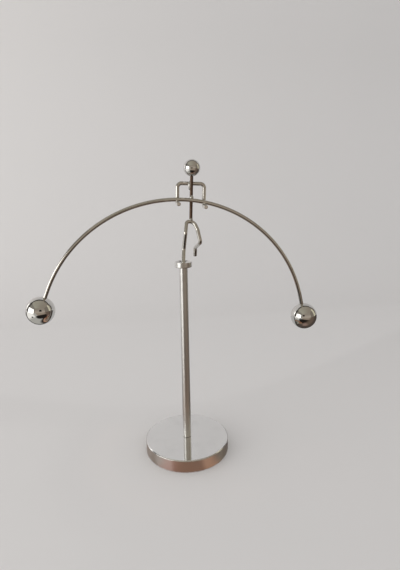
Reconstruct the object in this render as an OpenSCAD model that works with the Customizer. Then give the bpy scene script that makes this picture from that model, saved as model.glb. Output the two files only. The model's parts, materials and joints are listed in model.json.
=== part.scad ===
// Counterweight balancing toy. A wire tightrope walker stands on one toe in a small cup on top of a
// post. The long drooping beam in its hands carries a ball at each end, low enough that the whole
// walker hangs from its toe: pushed, it rocks and turns, and always comes back upright.
// Millimetres, +Z up. The origin is the centre of the base's underside and the post stands on Z.
// The beam runs along X and the walker faces -Y.

/* [Stand] */
// Diameter of the base disc
base_d = 52; // [40:1:80]
// Thickness of the base disc
base_h = 8; // [5:0.5:16]
// Chamfer on the base's edges
base_chamfer = 0.5; // [0.2:0.1:1.5]
// Metal left under the blind hole that the post screws into
base_floor = 1.6; // [0.8:0.1:3]
// Diameter of the post
post_d = 5; // [4.2:0.1:8]
// Height of the post above the base
post_h = 109.5; // [95:0.5:160]
// Chamfer at both ends of the post
post_chamfer = 0.3; // [0.1:0.1:0.5]
// Diameter of the screwed spigot below the post
screw_d = 4; // [2.5:0.1:4.4]

/* [Cup] */
// Diameter of the cup
cup_d = 10.2; // [8:0.1:12]
// Height of the cup
cup_h = 3.2; // [2.8:0.1:6]
// Chamfer under the cup's edge
cup_chamfer = 0.4; // [0.1:0.1:0.8]
// Width of the flat lip round the dish
cup_lip = 0.4; // [0.2:0.1:1]
// Depth of the dish
dish_depth = 1.6; // [0.8:0.1:1.9]
// Metal left between the dish and the pivot pin's socket
dish_floor = 0.5; // [0.3:0.1:0.8]
// Diameter of the pivot pin on top of the post
pivot_d = 2.4; // [1.5:0.1:3.5]

/* [Body] */
// Diameter of the wire that the legs and arms are bent from
wire_d = 2.3; // [1.8:0.1:2.6]
// Diameter of the spine, which is a thinner wire
spine_d = 1.8; // [1.4:0.1:2.2]
// How much thicker a wire is in its bends, and at the rounded toe
bend_swell = 0.02; // [0.01:0.01:0.06]
// How far the spine stands to the right of the toe
toe_offset = 4.2; // [2:0.1:6]
// Height of the beam's crossing above the spine's lower end
waist_h = 10.8; // [9:0.1:14]
// Height of the shoulder bar above the beam's crossing
chest_h = 9.2; // [7.5:0.1:12]
// Bare length of the spine between the shoulder's solder and the head
neck_l = 2.15; // [0.5:0.05:4]
// Diameter of the head
head_d = 9.5; // [7:0.5:13]
// Depth of the drilled hole in the head
head_bore = 4.5; // [3:0.1:6]

/* [Arms] */
// Distance between the two arms
arm_span = 15.4; // [12:0.1:22]
// Bend radius at the shoulders
shoulder_bend = 2.3; // [1.6:0.1:4]
// Bend radius at the hands
hand_bend = 2; // [1.5:0.1:2.6]
// How far the hands reach in front of the spine
hand_reach = 5.2; // [3.5:0.1:8]

/* [Legs] */
// Distance from the spine to the standing leg at the hip
hip_left = 2.5; // [2.2:0.1:4]
// Distance from the spine to the raised leg at the hip
hip_right = 1.7; // [1.4:0.1:4]
// Bend radius at the standing leg's hip
hip_bend = 1.6; // [1.3:0.1:2]
// Straight left on top of the arch between the two hips' bends
arch_flat = 0.3; // [0.2:0.1:1]
// Bend radius at the knees and ankles
joint_bend = 2.1; // [1.4:0.1:2.3]
// Standing ankle: left of the spine
ankle_left = 3.6; // [2:0.1:5]
// Standing ankle: behind the spine
ankle_back = 1.5; // [0:0.1:2.5]
// Standing ankle: height above the toe
ankle_h = 7.25; // [6:0.05:9]
// Standing knee: left of the spine
knee_left = 3.3; // [2:0.1:4]
// Standing knee: in front of the spine
knee_front = 2.2; // [1:0.1:4]
// Standing knee: height above the ankle
shin_h = 9.6; // [8:0.1:12]
// Spine's lower end: height above the standing knee
thigh_h = 7.7; // [6.5:0.1:10]
// Bend in the raised thigh: right of the spine
raised_thigh_right = 3.5; // [2.5:0.1:5]
// Bend in the raised thigh: in front of the spine
raised_thigh_front = 2.7; // [1:0.1:4]
// Bend in the raised thigh: depth below the spine's lower end
raised_thigh_h = 5.4; // [4.5:0.1:7]
// Raised knee: right of the spine
raised_knee_right = 5.4; // [4:0.1:7]
// Raised knee: in front of the spine
raised_knee_front = 3.2; // [2:0.1:6]
// Raised knee: depth below the bend in the thigh
raised_knee_h = 7.4; // [6:0.1:9]
// Raised ankle: right of the spine
raised_ankle_right = 3.7; // [2.5:0.1:4.5]
// Raised ankle: behind the spine
raised_ankle_back = 4.5; // [3:0.1:6]
// Raised ankle: depth below the raised knee
raised_shin_h = 4.1; // [3:0.1:6]
// Raised toe: right of the spine
raised_toe_right = 3.9; // [3:0.1:5]
// Raised toe: behind the spine
raised_toe_back = 6; // [4:0.1:7]
// Raised toe: depth below the raised ankle
raised_foot_h = 5; // [4:0.1:5.5]

/* [Beam] */
// Diameter of the beam's rod
beam_d = 2.3; // [1.8:0.1:2.6]
// Radius of the beam's arc
beam_r = 78.7; // [70:0.1:90]
// Half of the angle that the arc spans
beam_half_angle = 72; // [60:0.5:80]
// Straight length from each end of the arc to the middle of the weight
beam_end = 12.5; // [10:0.1:20]
// How far the beam's middle lies to the left of the spine
beam_shift = 2.6; // [0:0.1:4]
// Tilt of the beam in the hands, right end down
beam_tilt = 2.8; // [0:0.1:4]

/* [Weights] */
// Mean diameter of the two weights
weight_d = 16; // [13:0.1:19]
// How much wider the right weight is than the left one, which trims the balance
weight_trim = 0.17; // [0:0.01:0.6]
// Depth of the drilled hole in each weight
weight_bore = 7; // [4:0.1:8]

/* [Solder] */
// Diameter of the solder bead on the shoulder bar
shoulder_bead_d = 2.4; // [2:0.1:3]
// Length of the solder bead down the spine at the shoulder
shoulder_bead_l = 5.4; // [4.4:0.1:6]
// How far the middle of that bead hangs below the shoulder bar
shoulder_bead_drop = 1.1; // [0:0.1:1.2]
// Diameter of the solder bead over the beam
waist_bead_d = 2.6; // [2.2:0.1:3]
// How far the middle of that bead lies above the beam
waist_bead_rise = 0.4; // [0:0.1:0.8]
// Diameter of the solder bead round the hip
hip_bead_d = 2.6; // [2.4:0.1:3.2]

/* [Fits] */
// Gap round a wire in its drilled hole, and past its end, for glue
glue_gap = 0.05; // [0.02:0.01:0.1]
// Gap between two crossing wires, bridged by solder
solder_gap = 0.1; // [0.04:0.01:0.2]
// Gap between the toe and the dish
toe_gap = 0.05; // [0.02:0.01:0.1]
// Running gap round the pivot pin, above it and under the cup
pivot_gap = 0.05; // [0.02:0.01:0.1]
// Gap round the screwed spigot and below it
screw_gap = 0.05; // [0.02:0.01:0.1]

/* [Hidden] */
wire_fn = 64;
arc_fn = 4 * wire_fn;
$fn = wire_fn;
steel = [0.80, 0.80, 0.82];
browned = [0.24, 0.19, 0.16];
satin = [0.74, 0.74, 0.76];
tin = [0.88, 0.88, 0.88];

// Stand, from the table up to the toe
screw_hole_h = base_h - base_floor;
post_top = base_h + post_h;
cup_bottom = post_top + pivot_gap;
dish_r = cup_d / 2 - cup_lip;
dish_sphere_r = (dish_r ^ 2 + dish_depth ^ 2) / (2 * dish_depth);
socket_h = cup_h - dish_depth - dish_floor;
toe_d = wire_d + bend_swell;
toe_z = cup_bottom + cup_h - dish_depth + toe_gap + toe_d / 2;
// How far a straight runs into the bend next to it, so that the two are one solid
bend_lap = 0.05;

// The walker's own frame has the spine upright at x = y = 0 and heights counted from the toe.
// The beam crosses in front of the spine and the shoulder bar behind it.
knee_h = ankle_h + shin_h;
hip_h = knee_h + thigh_h;
beam_h = hip_h + waist_h;
shoulder_h = beam_h + chest_h;
head_h = shoulder_h - shoulder_bead_drop + shoulder_bead_l / 2 + neck_l + head_d / 2;
raised_thigh_z = hip_h - raised_thigh_h;
raised_knee_z = raised_thigh_z - raised_knee_h;
raised_ankle_z = raised_knee_z - raised_shin_h;
raised_toe_z = raised_ankle_z - raised_foot_h;
beam_y = -(spine_d + beam_d) / 2 - solder_gap;
arm_y = (spine_d + wire_d) / 2 + solder_gap;
spine_top = head_h - head_d / 2 + head_bore - glue_gap;

// Beam: points on the arc are given by their angle from the top, clockwise seen from the front
cross_angle = beam_tilt + beam_shift / beam_r * 180 / PI;
beam_centre = [-beam_r * sin(cross_angle), beam_y, beam_h - beam_r * cos(cross_angle)];
left_angle = beam_tilt - beam_half_angle;
right_angle = beam_tilt + beam_half_angle;
function on_beam(angle) = beam_centre + beam_r * [sin(angle), 0, cos(angle)];
function along_beam(angle) = [cos(angle), 0, -sin(angle)];
left_weight_d = weight_d - weight_trim / 2;
right_weight_d = weight_d + weight_trim / 2;
left_weight_at = on_beam(left_angle) - beam_end * along_beam(left_angle);
right_weight_at = on_beam(right_angle) + beam_end * along_beam(right_angle);
function rod_stop(d) = beam_end - d / 2 + weight_bore - glue_gap;
beam_left = on_beam(left_angle) - rod_stop(left_weight_d) * along_beam(left_angle);
beam_right = on_beam(right_angle) + rod_stop(right_weight_d) * along_beam(right_angle);

// Hands: hooked under the beam, one wire and one gap below its centre line
hand_r = beam_r - (beam_d + wire_d) / 2 - solder_gap;
function hand_h(x) = beam_centre.z + sqrt(hand_r ^ 2 - (x - beam_centre.x) ^ 2);
arm_x = arm_span / 2;
arm_path = [
    [arm_x, -hand_reach, hand_h(arm_x)],
    [arm_x, arm_y, hand_h(arm_x)],
    [arm_x, arm_y, shoulder_h],
    [-arm_x, arm_y, shoulder_h],
    [-arm_x, arm_y, hand_h(-arm_x)],
    [-arm_x, -hand_reach, hand_h(-arm_x)]
];
arm_bends = [hand_bend, shoulder_bend, shoulder_bend, hand_bend];

// Balance: every piece is steel, so volumes stand for masses. The toe stands under the centre of
// mass from front to back, and the walker leans until that centre hangs straight below the toe.
function sum(list) = [for (item = list) 1] * list;
function ball_volume(d) = PI * d ^ 3 / 6;
function rod_volume(d, length) = PI * d ^ 2 / 4 * length;
function lengths(path) = [for (i = [1:len(path) - 1]) norm(path[i] - path[i - 1])];
function middles(path) = [for (i = [1:len(path) - 1]) (path[i] + path[i - 1]) / 2];
function path_centroid(path) = lengths(path) * middles(path) / sum(lengths(path));
function wire_piece(path, d) = [rod_volume(d, sum(lengths(path))), path_centroid(path)];
function rod_piece(from, to) = [rod_volume(beam_d, norm(to - from)), (from + to) / 2];
function total(pieces) = sum([for (piece = pieces) piece[0]]);
function centre(pieces) = sum([for (piece = pieces) piece[0] * piece[1]]) / total(pieces);
half_arc = beam_half_angle * PI / 180;
arc_centroid_r = beam_r * sin(beam_half_angle) / half_arc;
arc_centroid = beam_centre + arc_centroid_r * [sin(beam_tilt), 0, cos(beam_tilt)];
upper_pieces = [
    [ball_volume(left_weight_d), left_weight_at],
    [ball_volume(right_weight_d), right_weight_at],
    [ball_volume(head_d), [0, 0, head_h]],
    [rod_volume(beam_d, 2 * half_arc * beam_r), arc_centroid],
    rod_piece(on_beam(left_angle), left_weight_at + left_weight_d / 2 * along_beam(left_angle)),
    rod_piece(on_beam(right_angle), right_weight_at - right_weight_d / 2 * along_beam(right_angle)),
    wire_piece([[0, 0, hip_h], [0, 0, head_h - head_d / 2]], spine_d),
    wire_piece(arm_path, wire_d)
];
toe_y = centre(upper_pieces).y;

// Legs: the raised leg's hip is one long bend, which takes up what the standing leg's hip leaves of the arch
function way(from, to) = (to - from) / norm(to - from);
function turn(path, i) = acos(way(path[i - 1], path[i]) * way(path[i], path[i + 1]));
hip_z = hip_h - wire_d / 2 - solder_gap;
leg_path = [
    [-toe_offset, toe_y, 0],
    [-ankle_left, ankle_back, ankle_h],
    [-knee_left, -knee_front, knee_h],
    [-hip_left, 0, hip_z],
    [hip_right, 0, hip_z],
    [raised_thigh_right, -raised_thigh_front, raised_thigh_z],
    [raised_knee_right, -raised_knee_front, raised_knee_z],
    [raised_ankle_right, raised_ankle_back, raised_ankle_z],
    [raised_toe_right, raised_toe_back, raised_toe_z]
];
raised_bend_run = hip_left + hip_right - arch_flat - hip_bend * tan(turn(leg_path, 3) / 2);
raised_hip_bend = raised_bend_run / tan(turn(leg_path, 4) / 2);
leg_bends = [joint_bend, joint_bend, hip_bend, raised_hip_bend, joint_bend, joint_bend, joint_bend];
balance_point = centre(concat(upper_pieces, [wire_piece(leg_path, wire_d)]));
lean = atan2(balance_point.x + toe_offset, -balance_point.z);

// Sets a piece of the walker on its toe, leaning as it comes to rest
module balanced() {
    translate([0, 0, toe_z])
        rotate([0, lean, 0])
            translate([toe_offset, -toe_y, 0])
                children();
}

// Turns what is drawn along +Z so that it starts at one point and heads for another
module aimed(from, to) {
    way = to - from;
    translate(from)
        rotate([0, acos(way.z / norm(way)), atan2(way.y, way.x)])
            children();
}

module rod(from, to, d) {
    aimed(from, to)
        cylinder(d = d, h = norm(to - from));
}

// A wire bent round the inner points of a path, each bend a piece of a torus tangent to its two straights
module bent_wire(path, bends, d) {
    last = len(path) - 1;
    ways = [for (i = [1:last]) way(path[i - 1], path[i])];
    turns = [for (i = [1:last - 1]) turn(path, i)];
    setbacks = [for (i = [1:last - 1]) bends[i - 1] * tan(turns[i - 1] / 2)];
    trims = [0, for (setback = setbacks) setback - bend_lap, 0];
    for (i = [1:last])
        rod(path[i - 1] + trims[i - 1] * ways[i - 1], path[i] - trims[i] * ways[i - 1], d);
    for (i = [1:last - 1]) {
        way_in = ways[i - 1];
        axis = cross(way_in, ways[i]) / sin(turns[i - 1]);
        outward = cross(way_in, axis);
        hub = path[i] - setbacks[i - 1] * way_in - bends[i - 1] * outward;
        multmatrix([for (k = [0:2]) [outward[k], way_in[k], axis[k], hub[k]]])
            rotate_extrude(angle = turns[i - 1])
                translate([bends[i - 1], 0])
                    circle(d = d + bend_swell);
    }
}

// Turned disc with a blind tapped hole in the middle of its top
module base_disc() {
    r = base_d / 2;
    color(satin)
        difference() {
            rotate_extrude()
                polygon([
                    [0, 0],
                    [r - base_chamfer, 0],
                    [r, base_chamfer],
                    [r, base_h - base_chamfer],
                    [r - base_chamfer, base_h],
                    [0, base_h]
                ]);
            translate([0, 0, base_floor])
                cylinder(d = screw_d + 2 * screw_gap, h = screw_hole_h + 1);
        }
}

// Polished rod with chamfered ends, turned down to a screwed spigot below and a short pivot pin on top
module post() {
    r = post_d / 2;
    color(steel)
        rotate_extrude()
            polygon([
                [0, base_floor + screw_gap],
                [screw_d / 2, base_floor + screw_gap],
                [screw_d / 2, base_h],
                [r - post_chamfer, base_h],
                [r, base_h + post_chamfer],
                [r, post_top - post_chamfer],
                [r - post_chamfer, post_top],
                [pivot_d / 2, post_top],
                [pivot_d / 2, post_top + socket_h],
                [0, post_top + socket_h]
            ]);
}

// Short turned button with a polished dish in its top and a socket for the pivot pin below
module cup() {
    r = cup_d / 2;
    color(steel)
        translate([0, 0, cup_bottom])
            difference() {
                rotate_extrude()
                    polygon([[0, 0], [r - cup_chamfer, 0], [r, cup_chamfer], [r, cup_h], [0, cup_h]]);
                translate([0, 0, cup_h - dish_depth + dish_sphere_r])
                    sphere(r = dish_sphere_r);
                translate([0, 0, -1])
                    cylinder(d = pivot_d + 2 * pivot_gap, h = socket_h + 1);
            }
}

// Both legs are one hairpin of wire, with the standing toe rounded to a ball
module leg_wire() {
    bent_wire(leg_path, leg_bends, wire_d);
    translate(leg_path[0])
        sphere(d = toe_d);
}

module legs() {
    color(steel)
        balanced()
            leg_wire();
}

module spine_wire() {
    rod([0, 0, hip_h], [0, 0, spine_top], spine_d);
}

module spine() {
    color(browned)
        balanced()
            spine_wire();
}

// Both arms and the shoulders are one wire, bent to a square arch with a hook at each hand
module arm_wire() {
    bent_wire(arm_path, arm_bends, wire_d);
}

module arms() {
    color(steel)
        balanced()
            arm_wire();
}

// Steel ball drilled from below and glued on the end of the spine
module head_ball() {
    color(steel)
        balanced()
            difference() {
                translate([0, 0, head_h])
                    sphere(d = head_d);
                translate([0, 0, head_h - head_d])
                    cylinder(d = spine_d + 2 * glue_gap, h = head_d / 2 + head_bore);
            }
}

// Long rod bent to an arc, with a straight end for each weight
module beam_rod() {
    translate(beam_centre)
        rotate([90, right_angle - 90, 0])
            rotate_extrude(angle = 2 * beam_half_angle, $fn = arc_fn)
                translate([beam_r, 0])
                    circle(d = beam_d + bend_swell, $fn = wire_fn);
    rod(on_beam(left_angle) + bend_lap * along_beam(left_angle), beam_left, beam_d);
    rod(on_beam(right_angle) - bend_lap * along_beam(right_angle), beam_right, beam_d);
}

module beam() {
    color(steel)
        balanced()
            beam_rod();
}

// Steel ball drilled along the end of the beam and glued on
module weight(at, d, inward) {
    color(steel)
        balanced()
            difference() {
                translate(at)
                    sphere(d = d);
                aimed(at + (d / 2 - weight_bore) * inward, at + d * inward)
                    cylinder(d = beam_d + 2 * glue_gap, h = d);
            }
}

module left_weight() {
    weight(left_weight_at, left_weight_d, along_beam(left_angle));
}

module right_weight() {
    weight(right_weight_at, right_weight_d, -along_beam(right_angle));
}

// Solder round the foot of the spine, where it stands on the arch of the legs
module hip_solder() {
    color(tin)
        balanced()
            difference() {
                translate([0, 0, hip_h])
                    sphere(d = hip_bead_d);
                spine_wire();
                leg_wire();
            }
}

// Solder in the corner above the beam, where it crosses in front of the spine
module waist_solder() {
    color(tin)
        balanced()
            difference() {
                translate([0, -spine_d / 2, beam_h + beam_d / 2 + waist_bead_rise])
                    sphere(d = waist_bead_d);
                spine_wire();
                beam_rod();
            }
}

// Solder run down the left side of the spine, where the shoulder bar crosses behind it
module shoulder_solder() {
    bead_at = [-spine_d / 2, spine_d / 8, shoulder_h - shoulder_bead_drop];
    half_run = (shoulder_bead_l - shoulder_bead_d) / 2;
    color(tin)
        balanced()
            difference() {
                translate(bead_at) {
                    cylinder(d = shoulder_bead_d, h = 2 * half_run, center = true);
                    for (side = [-1, 1])
                        translate([0, 0, side * half_run])
                            sphere(d = shoulder_bead_d);
                }
                spine_wire();
                arm_wire();
            }
}

base_disc();
post();
cup();
legs();
spine();
arms();
head_ball();
beam();
left_weight();
right_weight();
hip_solder();
waist_solder();
shoulder_solder();
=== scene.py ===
import json
import math

import bmesh
import bpy
from mathutils import Matrix, Vector, noise


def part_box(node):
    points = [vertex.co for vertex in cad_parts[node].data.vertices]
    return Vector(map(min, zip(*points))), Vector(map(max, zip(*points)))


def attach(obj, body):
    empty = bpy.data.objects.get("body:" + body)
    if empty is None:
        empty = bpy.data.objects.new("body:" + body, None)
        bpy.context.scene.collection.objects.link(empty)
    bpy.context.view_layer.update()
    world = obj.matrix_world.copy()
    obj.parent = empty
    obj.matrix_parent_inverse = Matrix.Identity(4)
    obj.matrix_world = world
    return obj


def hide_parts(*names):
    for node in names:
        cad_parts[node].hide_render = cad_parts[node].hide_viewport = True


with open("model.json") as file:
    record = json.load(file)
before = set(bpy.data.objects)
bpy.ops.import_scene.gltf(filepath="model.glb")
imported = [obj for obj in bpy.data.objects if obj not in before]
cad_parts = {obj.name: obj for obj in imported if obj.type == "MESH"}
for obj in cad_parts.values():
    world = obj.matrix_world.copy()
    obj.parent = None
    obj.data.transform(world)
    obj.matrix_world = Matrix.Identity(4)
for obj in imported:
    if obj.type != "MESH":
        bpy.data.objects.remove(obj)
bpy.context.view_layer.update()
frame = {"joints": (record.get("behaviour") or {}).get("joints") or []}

# Base disc: a slice of steel bar, faced and chamfered on a lathe, with a blind tapped hole that the
# post screws into. Its top is polished until it mirrors the post, and its side is left satin, with the
# fine rings of the turning tool still in both.
mm = 0.001
full_turn = 2 * math.pi
disc_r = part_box("base_disc")[1].x
disc_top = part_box("base_disc")[1].z
disc_chamfer = 0.5 * mm
disc_edge = 0.05 * mm
spigot_r = 2 * mm
screw_gap = 0.05 * mm
screw_hole_r = spigot_r + screw_gap
screw_hole_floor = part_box("post")[0].z - screw_gap
disc_bright = (0.90, 0.905, 0.905, 1)
disc_dull = (0.80, 0.805, 0.805, 1)
least_corner = math.radians(20)
turning_pitch = 0.3 * mm


def line_to(profile, x, z):
    """Carries a profile's last point straight on to a new one."""
    profile.verts.ensure_lookup_table()
    end = bmesh.ops.extrude_vert_indiv(profile, verts=[profile.verts[-1]])["verts"][0]
    end.co = (x, 0, z)


def turn_on_lathe(profile, rounding, steps):
    """Breaks a profile's corners a little and turns it once round the upright axis."""
    inner = [point for point in profile.verts if len(point.link_edges) == 2]
    corners = [point for point in inner if point.calc_edge_angle() > least_corner]
    bmesh.ops.bevel(
        profile, geom=corners, offset=rounding, segments=3, profile=0.5, affect="VERTICES", material=-1
    )
    outline = profile.verts[:] + profile.edges[:]
    bmesh.ops.spin(
        profile, geom=outline, cent=(0, 0, 0), axis=(0, 0, 1), angle=full_turn, steps=steps, use_merge=True
    )
    bmesh.ops.remove_doubles(profile, verts=profile.verts[:], dist=0.0005 * mm)
    bmesh.ops.recalc_face_normals(profile, faces=profile.faces[:])


def finished(name, shape, material):
    """Makes a shape an object that is smooth in its curves and flat on its flats."""
    mesh = bpy.data.meshes.new(name)
    shape.to_mesh(mesh)
    shape.free()
    mesh.shade_smooth()
    mesh.materials.append(material)
    piece = bpy.data.objects.new(name, mesh)
    bpy.context.scene.collection.objects.link(piece)
    piece.modifiers.new("flat_faces", "WEIGHTED_NORMAL")
    return piece


class Value:
    """A socket of a finish's nodes. Arithmetic on it adds Math nodes to the same finish."""

    def __init__(self, socket):
        self.socket = socket

    def node(self, kind, settings, inputs, output=0):
        """Adds a node, sets it, feeds its sockets with values or links, and returns one of its outputs."""
        tree = self.socket.id_data
        added = tree.nodes.new(kind)
        for name, setting in settings.items():
            setattr(added, name, setting)
        for key, value in inputs.items():
            if isinstance(value, Value):
                tree.links.new(value.socket, added.inputs[key])
            else:
                added.inputs[key].default_value = value
        return Value(added.outputs[output])

    def into(self, shader, name):
        """Feeds one of the shader's sockets."""
        self.socket.id_data.links.new(self.socket, shader.inputs[name])

    def math(self, operation, first, second):
        """Adds a Math node that works on two values."""
        return self.node("ShaderNodeMath", {"operation": operation}, {0: first, 1: second})

    def __add__(self, other):
        return self.math("ADD", self, other)

    def __mul__(self, other):
        return self.math("MULTIPLY", self, other)

    def __pow__(self, other):
        return self.math("POWER", self, other)

    __radd__ = __add__
    __rmul__ = __mul__

    def along(self, axis):
        """How far a place lies along the X, Y or Z axis."""
        return self.node("ShaderNodeSeparateXYZ", {}, {0: self}, axis)

    def rise(self, low, high):
        """Goes smoothly from 0 at the low value to 1 at the high one."""
        smooth = {"interpolation_type": "SMOOTHSTEP"}
        return self.node("ShaderNodeMapRange", smooth, {0: self, 1: low, 2: high})

    def patches(self, size):
        """Cloudy noise over a place, from 0 to 1, in patches of about this size."""
        return self.node("ShaderNodeTexNoise", {}, {"Vector": self, "Scale": 1 / size})

    def tool_lines(self, pitch):
        """Noise that changes only along this distance, as the marks of a tool do."""
        return self.node("ShaderNodeTexNoise", {"noise_dimensions": "1D"}, {"W": self, "Scale": 1 / pitch})

    def blend(self, first, second):
        """The first colour where this is 0 and the second where it is 1."""
        return self.node("ShaderNodeMix", {"data_type": "RGBA"}, {0: self, 6: first, 7: second}, 2)

    def relief(self, depth):
        """A surface that stands up by this much of the depth."""
        return self.node("ShaderNodeBump", {}, {"Distance": depth, "Height": self})


def rub_in_rings(shader):
    """Gives a finish the fine rings of the lathe, which draw a reflection out across them."""
    shader.inputs["Anisotropic"].default_value = 0.95
    shader.inputs["Anisotropic Rotation"].default_value = 0.25


def new_finish(name):
    """A bare metal finish: its material, its shader and the place on the piece that a pattern reads."""
    material = bpy.data.materials.new(name)
    material.use_nodes = True
    shader = material.node_tree.nodes["Principled BSDF"]
    shader.inputs["Metallic"].default_value = 1
    place = Value(material.node_tree.nodes.new("ShaderNodeTexCoord").outputs["Object"])
    return material, shader, place


turned_steel, shader, place = new_finish("turned_steel")
rub_in_rings(shader)
radius = (place.along(0) ** 2 + place.along(1) ** 2) ** 0.5
side = radius.rise(disc_r - disc_chamfer, disc_r - 0.5 * disc_chamfer)
marks = (radius + place.along(2)).tool_lines(turning_pitch)
smudges = place.patches(9 * mm).rise(0.45, 0.75)
(0.5 * marks + 0.3 * smudges).blend(disc_bright, disc_dull).into(shader, "Base Color")
(0.05 + 0.03 * marks + 0.03 * smudges + 0.22 * side).into(shader, "Roughness")
marks.relief(0.0004 * mm).into(shader, "Normal")

disc = bmesh.new()
disc.verts.new((0, 0, 0))
line_to(disc, disc_r - disc_chamfer, 0)
line_to(disc, disc_r, disc_chamfer)
line_to(disc, disc_r, disc_top - disc_chamfer)
line_to(disc, disc_r - disc_chamfer, disc_top)
line_to(disc, screw_hole_r, disc_top)
line_to(disc, screw_hole_r, screw_hole_floor)
line_to(disc, 0, screw_hole_floor)
turn_on_lathe(disc, disc_edge, steps=256)
base = finished("turned_base", disc, turned_steel)
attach(base, "stand")
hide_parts("base_disc")

# Post: a steel rod polished in a lathe, so that fine rings run round it, with a small chamfer at each
# end. Its foot is turned down to a threaded spigot, which holds it in the base, and its top to a short
# pin that the cup sits on.
post_low, post_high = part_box("post")
post_r = post_high.x
pivot_gap = 0.05 * mm
post_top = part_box("cup")[0].z - pivot_gap
post_chamfer = 0.3 * mm
post_edge = 0.04 * mm
pin_r = 1.2 * mm
# Painted shade: the rod is coloured darker over its lowest half millimetre, in the corner where it stands on
# the base.
foot_shade_start = disc_top + 0.45 * mm
foot_shade_full = disc_top + 0.15 * mm
rod_bright = (0.82, 0.81, 0.79, 1)
rod_dull = (0.70, 0.69, 0.67, 1)
rod_foot_shade = (0.50, 0.49, 0.47, 1)

polished_rod, shader, place = new_finish("polished_rod")
rub_in_rings(shader)
rings = place.along(2).tool_lines(turning_pitch)
smudges = place.patches(7 * mm).rise(0.4, 0.75)
# Painted shade at the rod's foot, growing darker down towards the base.
painted_foot_shade = place.along(2).rise(foot_shade_start, foot_shade_full)
polish = (0.5 * rings + 0.4 * smudges).blend(rod_bright, rod_dull)
painted_foot_shade.blend(polish, rod_foot_shade).into(shader, "Base Color")
(0.27 + 0.04 * rings + 0.04 * smudges).into(shader, "Roughness")
rings.relief(0.0006 * mm).into(shader, "Normal")

rod = bmesh.new()
rod.verts.new((0, 0, post_low.z))
line_to(rod, spigot_r - post_chamfer, post_low.z)
line_to(rod, spigot_r, post_low.z + post_chamfer)
line_to(rod, spigot_r, disc_top)
line_to(rod, post_r - post_chamfer, disc_top)
line_to(rod, post_r, disc_top + post_chamfer)
line_to(rod, post_r, post_top - post_chamfer)
line_to(rod, post_r - post_chamfer, post_top)
line_to(rod, pin_r, post_top)
line_to(rod, pin_r, post_high.z)
line_to(rod, 0, post_high.z)
turn_on_lathe(rod, post_edge, steps=96)
post = finished("post_rod", rod, polished_rod)
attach(post, "stand")
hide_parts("post")

# Cup: a steel button turned to fit over the post's pin. Its shallow dish is polished bright, so that
# the toe runs freely at the bottom of it, and its edges are broken.
cup_low, cup_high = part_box("cup")
cup_r = cup_high.x
cup_chamfer = 0.4 * mm
cup_edge = 0.18 * mm
cup_lip = 0.4 * mm
dish_depth = 1.6 * mm
dish_r = cup_r - cup_lip
side_start = cup_r - 0.2 * mm
side_full = cup_r - 0.05 * mm
dish_ball_r = (dish_r ** 2 + dish_depth ** 2) / (2 * dish_depth)
dish_bottom = cup_high.z - dish_depth
socket_r = pin_r + pivot_gap
socket_top = post_high.z + pivot_gap


def arc_about(profile, x, z, angle, steps):
    """Carries a profile's last point on in an arc about a centre."""
    profile.verts.ensure_lookup_table()
    last = profile.verts[-1]
    bmesh.ops.spin(profile, geom=[last], cent=(x, 0, z), axis=(0, 1, 0), angle=angle, steps=steps)


bright_cup, shader, place = new_finish("bright_cup")
rub_in_rings(shader)
radius = (place.along(0) ** 2 + place.along(1) ** 2) ** 0.5
marks = (radius + place.along(2)).tool_lines(0.2 * mm)
(0.6 * marks).blend(rod_bright, rod_dull).into(shader, "Base Color")
side = radius.rise(side_start, side_full)
(0.05 + 0.06 * marks + 0.2 * side).into(shader, "Roughness")
marks.relief(0.0006 * mm).into(shader, "Normal")

button = bmesh.new()
button.verts.new((0, 0, dish_bottom))
arc_about(button, 0, dish_bottom + dish_ball_r, -math.asin(dish_r / dish_ball_r), steps=24)
line_to(button, cup_r, cup_high.z)
line_to(button, cup_r, cup_low.z + cup_chamfer)
line_to(button, cup_r - cup_chamfer, cup_low.z)
line_to(button, socket_r, cup_low.z)
line_to(button, socket_r, socket_top)
line_to(button, 0, socket_top)
turn_on_lathe(button, cup_edge, steps=128)
cup = finished("toe_cup", button, bright_cup)
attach(cup, "cup")
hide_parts("cup")

# Legs: one bright steel wire bent to a hairpin. The standing leg ends in a toe that is rounded to a
# ball, and the other is bent up at the knee and back at the ankle. The walker's own frame has the
# spine as its upright axis and the toe at height 0, and it leans as it hangs at rest.
wire_r = 1.15 * mm
solder_gap = 0.1 * mm
toe_at = Vector(frame["joints"][1]["pos_m"])
head_low, head_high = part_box("head_ball")
head_r = (head_high.x - head_low.x) / 2
head_at = Vector((head_low.x + head_r, head_low.y + head_r, head_high.z - head_r))
spine_right = 4.2 * mm
spine_back = head_at.y
head_h = math.sqrt((head_at - toe_at).xz.length_squared - spine_right ** 2)
lean = math.atan2(head_at.x, head_at.z - toe_at.z) - math.atan2(spine_right, head_h)
spine_foot = Matrix.Translation((spine_right, spine_back, 0))
walker = Matrix.Translation(toe_at) @ Matrix.Rotation(lean, 4, "Y") @ spine_foot
hip_h = 24.55 * mm
hip_z = hip_h - wire_r - solder_gap
joint_bend = 2.1 * mm
hip_bend = 1.6 * mm
arch_flat = 0.3 * mm
fine_step = 0.15 * mm
toe_round = 0.97 * wire_r
cut_edge = 0.15 * mm
toe = Vector((-spine_right, -spine_back, 0))
ankle = Vector((-3.6, 1.5, 7.25)) * mm
knee = Vector((-3.3, -2.2, 16.85)) * mm
left_hip = Vector((-2.5 * mm, 0, hip_z))
right_hip = Vector((1.7 * mm, 0, hip_z))
raised_thigh = Vector((3.5, -2.7, 19.15)) * mm
raised_knee = Vector((5.4, -3.2, 11.75)) * mm
raised_ankle = Vector((3.7, 4.5, 7.65)) * mm
raised_toe = Vector((3.9, 6, 2.65)) * mm
left_hip_turn = (left_hip - knee).angle(right_hip - left_hip)
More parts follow.
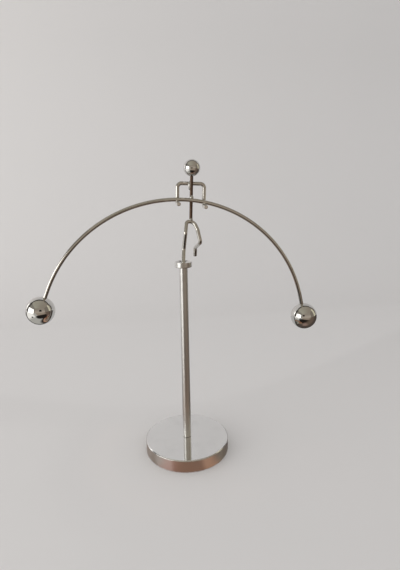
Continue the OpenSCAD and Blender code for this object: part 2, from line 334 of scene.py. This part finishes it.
right_hip_turn = (right_hip - left_hip).angle(raised_thigh - right_hip)
long_bend_run = right_hip.x - left_hip.x - arch_flat - hip_bend * math.tan(left_hip_turn / 2)
long_hip_bend = long_bend_run / math.tan(right_hip_turn / 2)
wire_bright = (0.68, 0.66, 0.63, 1)
wire_dull = (0.56, 0.54, 0.50, 1)


def draw_out(wire, rim, way):
    """Draws a wire's open rim out along a straight, and gives the new rim."""
    made = bmesh.ops.extrude_edge_only(wire, edges=rim)["geom"]
    bmesh.ops.translate(wire, verts=[item for item in made if isinstance(item, bmesh.types.BMVert)], vec=way)
    return [item for item in made if isinstance(item, bmesh.types.BMEdge) and item.is_boundary]


def bent_wire(thickness, path, bends, bend_step, roundings):
    """A round wire along a path, bent round its inner points, with the rims of its two ends rounded."""
    ways = [(after - before).normalized() for before, after in zip(path, path[1:])]
    wire = bmesh.new()
    start = Matrix.Translation(path[0]) @ ways[0].to_track_quat("Z", "Y").to_matrix().to_4x4()
    bmesh.ops.create_circle(wire, segments=40, radius=thickness / 2, matrix=start)
    rim = wire.edges[:]
    reached = path[0]
    for corner, way_in, way_out, bend in zip(path[1:], ways, ways[1:], bends):
        turn = way_in.angle(way_out)
        setback = bend * math.tan(turn / 2)
        axis = way_in.cross(way_out).normalized()
        bend_start = corner - setback * way_in
        hub = bend_start + bend * axis.cross(way_in)
        steps = math.ceil(turn * bend / bend_step)
        rim = draw_out(wire, rim, bend_start - reached)
        bent = bmesh.ops.spin(wire, geom=rim, cent=hub, axis=axis, angle=turn, steps=steps)["geom_last"]
        rim = [item for item in bent if isinstance(item, bmesh.types.BMEdge)]
        reached = corner + setback * way_out
    draw_out(wire, rim, path[-1] - reached)
    caps = bmesh.ops.holes_fill(wire, edges=wire.edges[:], sides=0)["faces"]
    caps.sort(key=lambda cap: (cap.calc_center_median() - path[0]).length)
    for cap, rounding in zip(caps, roundings):
        bmesh.ops.bevel(
            wire, geom=cap.edges[:], offset=rounding, segments=8, profile=0.5, affect="EDGES", material=-1
        )
    bmesh.ops.recalc_face_normals(wire, faces=wire.faces[:])
    wire.transform(walker)
    return wire


bright_wire, shader, place = new_finish("bright_wire")
smudges = place.patches(4 * mm).rise(0.35, 0.8)
fine = place.patches(0.4 * mm)
(0.6 * smudges + 0.3 * fine).blend(wire_bright, wire_dull).into(shader, "Base Color")
(0.05 + 0.06 * smudges + 0.03 * fine).into(shader, "Roughness")
fine.relief(0.001 * mm).into(shader, "Normal")

toe_tip = toe - wire_r * (ankle - toe).normalized()
leg_path = [toe_tip, ankle, knee, left_hip, right_hip, raised_thigh, raised_knee, raised_ankle, raised_toe]
leg_bends = [joint_bend, joint_bend, hip_bend, long_hip_bend, joint_bend, joint_bend, joint_bend]
leg_wire = bent_wire(2 * wire_r, leg_path, leg_bends, fine_step, [toe_round, cut_edge])
legs = finished("leg_wire", leg_wire, bright_wire)
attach(legs, "walker")
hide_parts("legs")

# Spine: a straight piece of thinner wire, from the top of the legs' arch up into the head.
# Its foot is squared off and soldered to the arch, and the heat of the soldering has browned it.
spine_r = 0.9 * mm
spine_edge = 0.1 * mm
head_bore = 4.5 * mm
glue_gap = 0.05 * mm
spine_path = [Vector((0, 0, hip_h)), Vector((0, 0, head_h - head_r + head_bore - glue_gap))]
brown_dark = (0.10, 0.066, 0.048, 1)
brown_warm = (0.15, 0.102, 0.074, 1)

browned_wire, shader, place = new_finish("browned_wire")
heat = place.along(2).tool_lines(3 * mm)
fine = place.patches(0.4 * mm)
(0.7 * heat + 0.3 * fine).blend(brown_dark, brown_warm).into(shader, "Base Color")
(0.38 + 0.1 * fine).into(shader, "Roughness")
fine.relief(0.001 * mm).into(shader, "Normal")

spine_wire = bent_wire(2 * spine_r, spine_path, [], fine_step, [spine_edge, spine_edge])
spine = finished("spine_wire", spine_wire, browned_wire)
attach(spine, "walker")
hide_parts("spine")

# Arms: one wire bent to a square arch behind the spine. Each hand turns forward under the beam
# and ends in a cut face with its rim filed round.
beam_r = 78.7 * mm
beam_tilt = math.radians(2.8)
beam_shift = 2.6 * mm
beam_front = spine_r + wire_r + solder_gap
beam_h = 35.35 * mm
shoulder_h = 44.55 * mm
arm_x = 7.7 * mm
arm_y = spine_r + wire_r + solder_gap
hand_y = -5.2 * mm
shoulder_bend = 2.3 * mm
hand_bend = 2 * mm
hand_edge = 0.35 * mm
beam_turn = beam_tilt + beam_shift / beam_r
beam_hub = Vector((-beam_r * math.sin(beam_turn), -beam_front, beam_h - beam_r * math.cos(beam_turn)))


def hand_height(x):
    """How high a hand lies where it touches the beam from below."""
    hand_r = beam_r - 2 * wire_r - solder_gap
    return beam_hub.z + math.sqrt(hand_r ** 2 - (x - beam_hub.x) ** 2)


right_z = hand_height(arm_x)
left_z = hand_height(-arm_x)
arm_path = [
    Vector((arm_x, hand_y, right_z)),
    Vector((arm_x, arm_y, right_z)),
    Vector((arm_x, arm_y, shoulder_h)),
    Vector((-arm_x, arm_y, shoulder_h)),
    Vector((-arm_x, arm_y, left_z)),
    Vector((-arm_x, hand_y, left_z)),
]
arm_bends = [hand_bend, shoulder_bend, shoulder_bend, hand_bend]
arm_wire = bent_wire(2 * wire_r, arm_path, arm_bends, fine_step, [hand_edge, hand_edge])
arms = finished("arm_wire", arm_wire, bright_wire)
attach(arms, "walker")
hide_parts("arms")

# Head: a polished steel ball, drilled blind and glued on the end of the spine.
# The hole's rim is broken with a file.
bore_edge = 0.06 * mm
chrome_bright = (0.70, 0.69, 0.67, 1)
chrome_dull = (0.62, 0.61, 0.58, 1)


def drilled_ball(ball_r, bore_r, bore, centre, bore_way):
    """A ball with a blind hole, which opens towards the wire that it sits on."""
    ball = bmesh.new()
    ball.verts.new((0, 0, -ball_r))
    arc_about(ball, 0, 0, math.asin(bore_r / ball_r) - math.pi, steps=72)
    line_to(ball, bore_r, ball_r - bore)
    line_to(ball, 0, ball_r - bore)
    turn_on_lathe(ball, bore_edge, steps=144)
    aim = bore_way.to_track_quat("Z", "Y").to_matrix().to_4x4()
    ball.transform(walker @ Matrix.Translation(centre) @ aim)
    return ball


mirror_chrome, shader, place = new_finish("mirror_chrome")
smudges = place.patches(5 * mm).rise(0.45, 0.85)
fine = place.patches(1.5 * mm)
(0.8 * smudges).blend(chrome_bright, chrome_dull).into(shader, "Base Color")
(0.015 + 0.05 * smudges).into(shader, "Roughness")
fine.relief(0.0015 * mm).into(shader, "Normal")

head_ball = drilled_ball(head_r, spine_r + glue_gap, head_bore, Vector((0, 0, head_h)), Vector((0, 0, -1)))
head = finished("drilled_head", head_ball, mirror_chrome)
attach(head, "walker")
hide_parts("head_ball")

# Beam: a long steel wire rolled to an even arc, with a straight at each end for the weights.
# It lies in the two hands, in front of the spine, and droops far below the toe.
beam_half = math.radians(72)
beam_end = 12.5 * mm
beam_edge = 0.1 * mm
roll_step = 0.8 * mm
weight_bore = 7 * mm


def on_beam(angle):
    """A point of the beam's arc, counted from its highest one."""
    return beam_hub + beam_r * Vector((math.sin(angle), 0, math.cos(angle)))


def along_beam(angle):
    """The way that the beam runs there, from left to right."""
    return Vector((math.cos(angle), 0, -math.sin(angle)))


left_angle = beam_tilt - beam_half
right_angle = beam_tilt + beam_half
left_at = on_beam(left_angle) - beam_end * along_beam(left_angle)
right_at = on_beam(right_angle) + beam_end * along_beam(right_angle)
left_r = (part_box("left_weight")[1].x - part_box("left_weight")[0].x) / 2
right_r = (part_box("right_weight")[1].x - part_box("right_weight")[0].x) / 2
left_stop = left_at + (left_r - weight_bore + glue_gap) * along_beam(left_angle)
right_stop = right_at - (right_r - weight_bore + glue_gap) * along_beam(right_angle)
beam_corner = beam_hub + (on_beam(beam_tilt) - beam_hub) / math.cos(beam_half)
beam_path = [left_stop, beam_corner, right_stop]
beam_wire = bent_wire(2 * wire_r, beam_path, [beam_r], roll_step, [beam_edge, beam_edge])
beam = finished("rolled_beam", beam_wire, bright_wire)
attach(beam, "walker")
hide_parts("beam")

# Weights: two polished steel balls, drilled blind and glued on the beam's ends. Their weight keeps
# the centre of mass below the toe, and they differ by a sixth of a millimetre to trim the balance.
left_ball = drilled_ball(left_r, wire_r + glue_gap, weight_bore, left_at, along_beam(left_angle))
left_weight = finished("left_ball", left_ball, mirror_chrome)
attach(left_weight, "walker")
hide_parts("left_weight")

right_ball = drilled_ball(right_r, wire_r + glue_gap, weight_bore, right_at, -along_beam(right_angle))
right_weight = finished("right_ball", right_ball, mirror_chrome)
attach(right_weight, "walker")
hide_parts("right_weight")

# Solder: three beads of tin that hold the wires where they cross: round the spine's foot at the hip,
# in the corner above the beam at the waist, and down the spine's left side at the shoulder.
# Each has run a little and set uneven.
bead_size = Vector((2.6, 2.6, 2.6)) * mm
shoulder_size = Vector((2.4, 2.4, 5.4)) * mm
lump_size = 0.9 * mm
waist_rise = 0.4 * mm
shoulder_drop = 1.1 * mm
tin_bright = (0.64, 0.63, 0.61, 1)
tin_dull = (0.50, 0.49, 0.47, 1)


def solder_bead(centre, size, unevenness):
    """A bead of solder of the given size each way, with the lumps that it set in."""
    bead = bmesh.new()
    shape = Matrix.Translation(centre) @ Matrix.Diagonal((*(size / 2), 1))
    bmesh.ops.create_icosphere(bead, subdivisions=5, radius=1, matrix=shape)
    for point in bead.verts:
        lump = noise.noise(point.co / lump_size)
        point.co = centre + (point.co - centre) * (1 - unevenness + unevenness * lump)
    bmesh.ops.recalc_face_normals(bead, faces=bead.faces[:])
    bead.transform(walker)
    return bead


tin_solder, shader, place = new_finish("tin_solder")
frost = place.patches(0.7 * mm)
pits = place.patches(0.2 * mm)
frost.rise(0.35, 0.7).blend(tin_bright, tin_dull).into(shader, "Base Color")
(0.08 + 0.12 * frost).into(shader, "Roughness")
(frost + 0.3 * pits).relief(0.02 * mm).into(shader, "Normal")

hip_bead = solder_bead(Vector((0, 0, hip_h)), bead_size, unevenness=0.08)
hip_solder = finished("hip_bead", hip_bead, tin_solder)
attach(hip_solder, "walker")
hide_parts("hip_solder")

waist_centre = Vector((0, -spine_r, beam_h + wire_r + waist_rise))
waist_bead = solder_bead(waist_centre, bead_size, unevenness=0.08)
waist_solder = finished("waist_bead", waist_bead, tin_solder)
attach(waist_solder, "walker")
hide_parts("waist_solder")

shoulder_centre = Vector((-spine_r, spine_r / 4, shoulder_h - shoulder_drop))
shoulder_bead = solder_bead(shoulder_centre, shoulder_size, unevenness=0.1)
shoulder_solder = finished("shoulder_bead", shoulder_bead, tin_solder)
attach(shoulder_solder, "walker")
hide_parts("shoulder_solder")

# Floor: a pale sheet of paper that runs back under the toy and curves up into a backdrop,
# so that no edge shows behind it.
floor_half = 1.5
floor_front = -1.6
floor_back = 0.7
sweep_r = 0.45
wall_rise = 1
floor_pale = (0.735, 0.72, 0.71, 1)
floor_grey = (0.66, 0.65, 0.646, 1)

floor_paper, shader, place = new_finish("floor_paper")
shader.inputs["Metallic"].default_value = 0
shader.inputs["Specular IOR Level"].default_value = 0.2
shader.inputs["Roughness"].default_value = 0.8
# Painted light: the paper is paler towards the windows on the left and greyer towards the right, mixed with
# faint random patches.
painted_light_falloff = place.along(0).rise(-0.5, 0.6)
(0.7 * painted_light_falloff + 0.3 * place.patches(0.3)).blend(floor_pale, floor_grey).into(shader, "Base Color")

sheet = bmesh.new()
sheet.verts.new((-floor_half, floor_front, 0))
across = bmesh.ops.extrude_vert_indiv(sheet, verts=sheet.verts[:])
bmesh.ops.translate(sheet, verts=across["verts"], vec=(2 * floor_half, 0, 0))
draw_out(sheet, across["edges"], (0, floor_back - sweep_r - floor_front, 0))
rim = [edge for edge in sheet.edges if all(end.co.y > 0 for end in edge.verts)]
swept = bmesh.ops.spin(
    sheet, geom=rim, cent=(0, floor_back - sweep_r, sweep_r), axis=(1, 0, 0), angle=full_turn / 4, steps=32
)["geom_last"]
draw_out(sheet, [item for item in swept if isinstance(item, bmesh.types.BMEdge)], (0, 0, wall_rise))
bmesh.ops.recalc_face_normals(sheet, faces=sheet.faces[:])
floor = finished("floor_sheet", sheet, floor_paper)

# Cards: plain panels round the set that only the polished metal sees, as a studio hangs them for
# chrome. They give it a grey ceiling, beige walls and a floor of browns and greys to mirror, with dark
# gaps between.
room_left = -1.15
room_right = 1.5
room_front = -1.6
room_top = 1.25
room_mid = (room_left + room_right) / 2
room_width = room_right - room_left
wall_mid = room_top / 2


def card_paint(name):
    """A paint that glows by itself and takes no light."""
    material, shader, place = new_finish(name)
    shader.inputs["Metallic"].default_value = 0
    shader.inputs["Base Color"].default_value = (0, 0, 0, 1)
    shader.inputs["Specular IOR Level"].default_value = 0
    shader.inputs["Emission Strength"].default_value = 1
    return material, shader, place


def hang_card(name, centre, way, width, height, paint):
    """A flat panel that faces a way and shows only in reflections."""
    panel = bmesh.new()
    aim = Matrix.Translation(centre) @ Vector(way).to_track_quat("Z", "Y").to_matrix().to_4x4()
    size = Matrix.Diagonal((width, height, 1, 1))
    bmesh.ops.create_grid(panel, x_segments=1, y_segments=1, size=0.5, matrix=aim @ size)
    made = finished(name, panel, paint)
    made.visible_camera = False
    made.visible_diffuse = False
    made.visible_shadow = False


def plain_card(name, centre, way, width, height, colour):
    """A card of one colour."""
    paint, shader, _ = card_paint(name)
    shader.inputs["Emission Color"].default_value = (*colour, 1)
    hang_card(name, centre, way, width, height, paint)


ceiling_paint, shader, place = card_paint("ceiling_paint")
left_to_right = place.along(0).rise(-1, 1)
left_to_right.blend((0.42, 0.40, 0.33, 1), (0.31, 0.27, 0.22, 1)).into(shader, "Emission Color")
hang_card("ceiling_card", (room_mid, -0.65, room_top), (0, 0, -1), room_width, 1.9, ceiling_paint)
plain_card("ceiling_gap", (room_mid, 0.45, room_top), (0, 0, -1), room_width, 0.3, (0.06, 0.055, 0.05))

front_paint, shader, place = card_paint("front_paint")
upward = place.along(2).rise(0.2, 0.9)
upward.blend((0.46, 0.40, 0.34, 1), (0.33, 0.29, 0.24, 1)).into(shader, "Emission Color")
hang_card("front_card", (room_mid, room_front, wall_mid), (0, 1, 0), room_width, room_top, front_paint)

plain_card("right_card", (room_right, -0.6, wall_mid), (-1, 0, 0), 2, room_top, (0.23, 0.20, 0.165))
plain_card("right_gap", (room_right, 0.545, wall_mid), (-1, 0, 0), 0.29, room_top, (0.1, 0.09, 0.08))
plain_card("right_glow", (room_right - 0.05, -0.07, 0.6), (-1, 0, 0), 0.5, 1.2, (0.70, 0.66, 0.50))
plain_card("left_card", (room_left, -0.77, wall_mid), (1, 0, 0), 1.66, room_top, (0.27, 0.255, 0.22))
plain_card("left_pane", (room_left + 0.01, -0.3, 0.58), (1, 0, 0), 0.3, 0.09, (0.6, 0.59, 0.57))
plain_card("left_gap", (room_left, 0.33, wall_mid), (1, 0, 0), 0.54, room_top, (0.08, 0.075, 0.068))
plain_card("lens_card", (-0.0326, -0.24, 0.16), (0.1, 1, -0.1), 0.08, 0.06, (0.004, 0.004, 0.004))

corner_blur = 0.008
floor_card_paint, shader, place = card_paint("floor_card_paint")
right = place.along(0)
back = place.along(1)
bearing = place.math("ARCTAN2", right, -1 * back)
reach = (right ** 2 + back ** 2) ** 0.5
left_ring = bearing.rise(-0.2, -0.7).blend((0.20, 0.098, 0.06, 1), (0.29, 0.13, 0.09, 1))
front_ring = bearing.rise(0.2, 0.42).blend(left_ring, (0.40, 0.22, 0.14, 1))
ring = (bearing ** 2).rise(0.4, 1.1).blend(front_ring, (0.25, 0.20, 0.165, 1))
left_copper = reach.rise(0.043, 0.05) * bearing.rise(-0.1, -0.5)
copper = left_copper.blend(ring, (0.48, 0.29, 0.20, 1))
near_brown = reach.rise(0.056, 0.07).blend(copper, (0.025, 0.016, 0.012, 1))
brown = reach.rise(0.2, 0.34).blend(near_brown, (0.36, 0.30, 0.24, 1))
right_near = reach.rise(0.056, 0.072).blend((0.14, 0.11, 0.088, 1), (0.30, 0.205, 0.172, 1))
right_far = reach.rise(0.09, 0.13).blend(right_near, (0.15, 0.11, 0.085, 1))
right_end = bearing.rise(1.25, 1.5).blend(right_far, (0.09, 0.07, 0.06, 1))
right_brown = bearing.rise(0.45, 0.95).blend(brown, right_end)
far_left = reach.rise(0.18, 0.25) * bearing.rise(-0.75, -1.05)
window_spill = far_left.blend((0.50, 0.49, 0.46, 1), (1.15, 1.13, 1.09, 1))
left_side = bearing.rise(-0.4, -0.65) * reach.rise(0.07, 0.1)
front = left_side.blend(right_brown, window_spill)
front_shade = (((0.75 * right + 0.034) ** 2 + (back + 0.165) ** 2) ** 0.5).rise(0.1, 0.075)
left_shade = (((right + 0.222) ** 2 + (back + 0.08) ** 2) ** 0.5).rise(0.035, 0.02)
half_shaded = front_shade.blend(front, (0.02, 0.017, 0.015, 1))
shaded = left_shade.blend(half_shaded, (0.04, 0.036, 0.032, 1))
behind = back * (right ** 2 + corner_blur) ** -0.5
edge = behind.rise(0.3, 0.38).blend(shaded, (0.05, 0.047, 0.042, 1))
behind.rise(0.57, 0.64).blend(edge, (0.52, 0.515, 0.51, 1)).into(shader, "Emission Color")
hang_card("floor_card", (room_mid, -0.455, 0.0005), (0, 0, 1), room_width, 2.29, floor_card_paint)

# Light: two soft windows of light on the left, a wide one turned to the walker and a narrow one
# behind it, and a pale surround that fills the shadows.
daylight = (1, 0.985, 0.96)


def soft_light(name, centre, way, width, height, watts, colour):
    """A rectangular soft light that faces a way."""
    light = bpy.data.lights.new(name, "AREA")
    light.shape = "RECTANGLE"
    light.size = width
    light.size_y = height
    light.energy = watts
    light.color = colour
    lamp = bpy.data.objects.new(name, light)
    aim = Vector(way).to_track_quat("-Z", "Y").to_matrix().to_4x4()
    lamp.matrix_world = Matrix.Translation(centre) @ aim
    lamp.visible_camera = False
    bpy.context.scene.collection.objects.link(lamp)


soft_light("front_window", (-0.94, -0.33, 0.26), (0.91, 0.41, 0), 0.9, 0.48, 3.1, daylight)
soft_light("back_window", (-1.12, 0.58, 0.4), (1, 0, 0), 0.2, 0.55, 0.6, daylight)
world = bpy.data.worlds.new("pale_surround")
world.use_nodes = True
world.node_tree.nodes["Background"].inputs["Color"].default_value = (1, 0.99, 0.985, 1)
world.node_tree.nodes["Background"].inputs["Strength"].default_value = 0.81
bpy.context.scene.world = world

# Camera: at the height of the walker's shoulders and a little left of the post,
# looking slightly down.
eye = Vector((-32.57, -237.32, 162.3)) * mm
pan = math.radians(-10.08)
tilt = math.radians(90 - 13.07)
roll = math.radians(-0.75)

lens = bpy.data.cameras.new("camera")
lens.sensor_width = 36
lens.lens = 26.43
camera = bpy.data.objects.new("camera", lens)
camera.matrix_world = (
    Matrix.Translation(eye)
    @ Matrix.Rotation(pan, 4, "Z")
    @ Matrix.Rotation(tilt, 4, "X")
    @ Matrix.Rotation(roll, 4, "Z")
)
bpy.context.scene.collection.objects.link(camera)
bpy.context.scene.camera = camera
bpy.context.scene.view_settings.view_transform = "Standard"
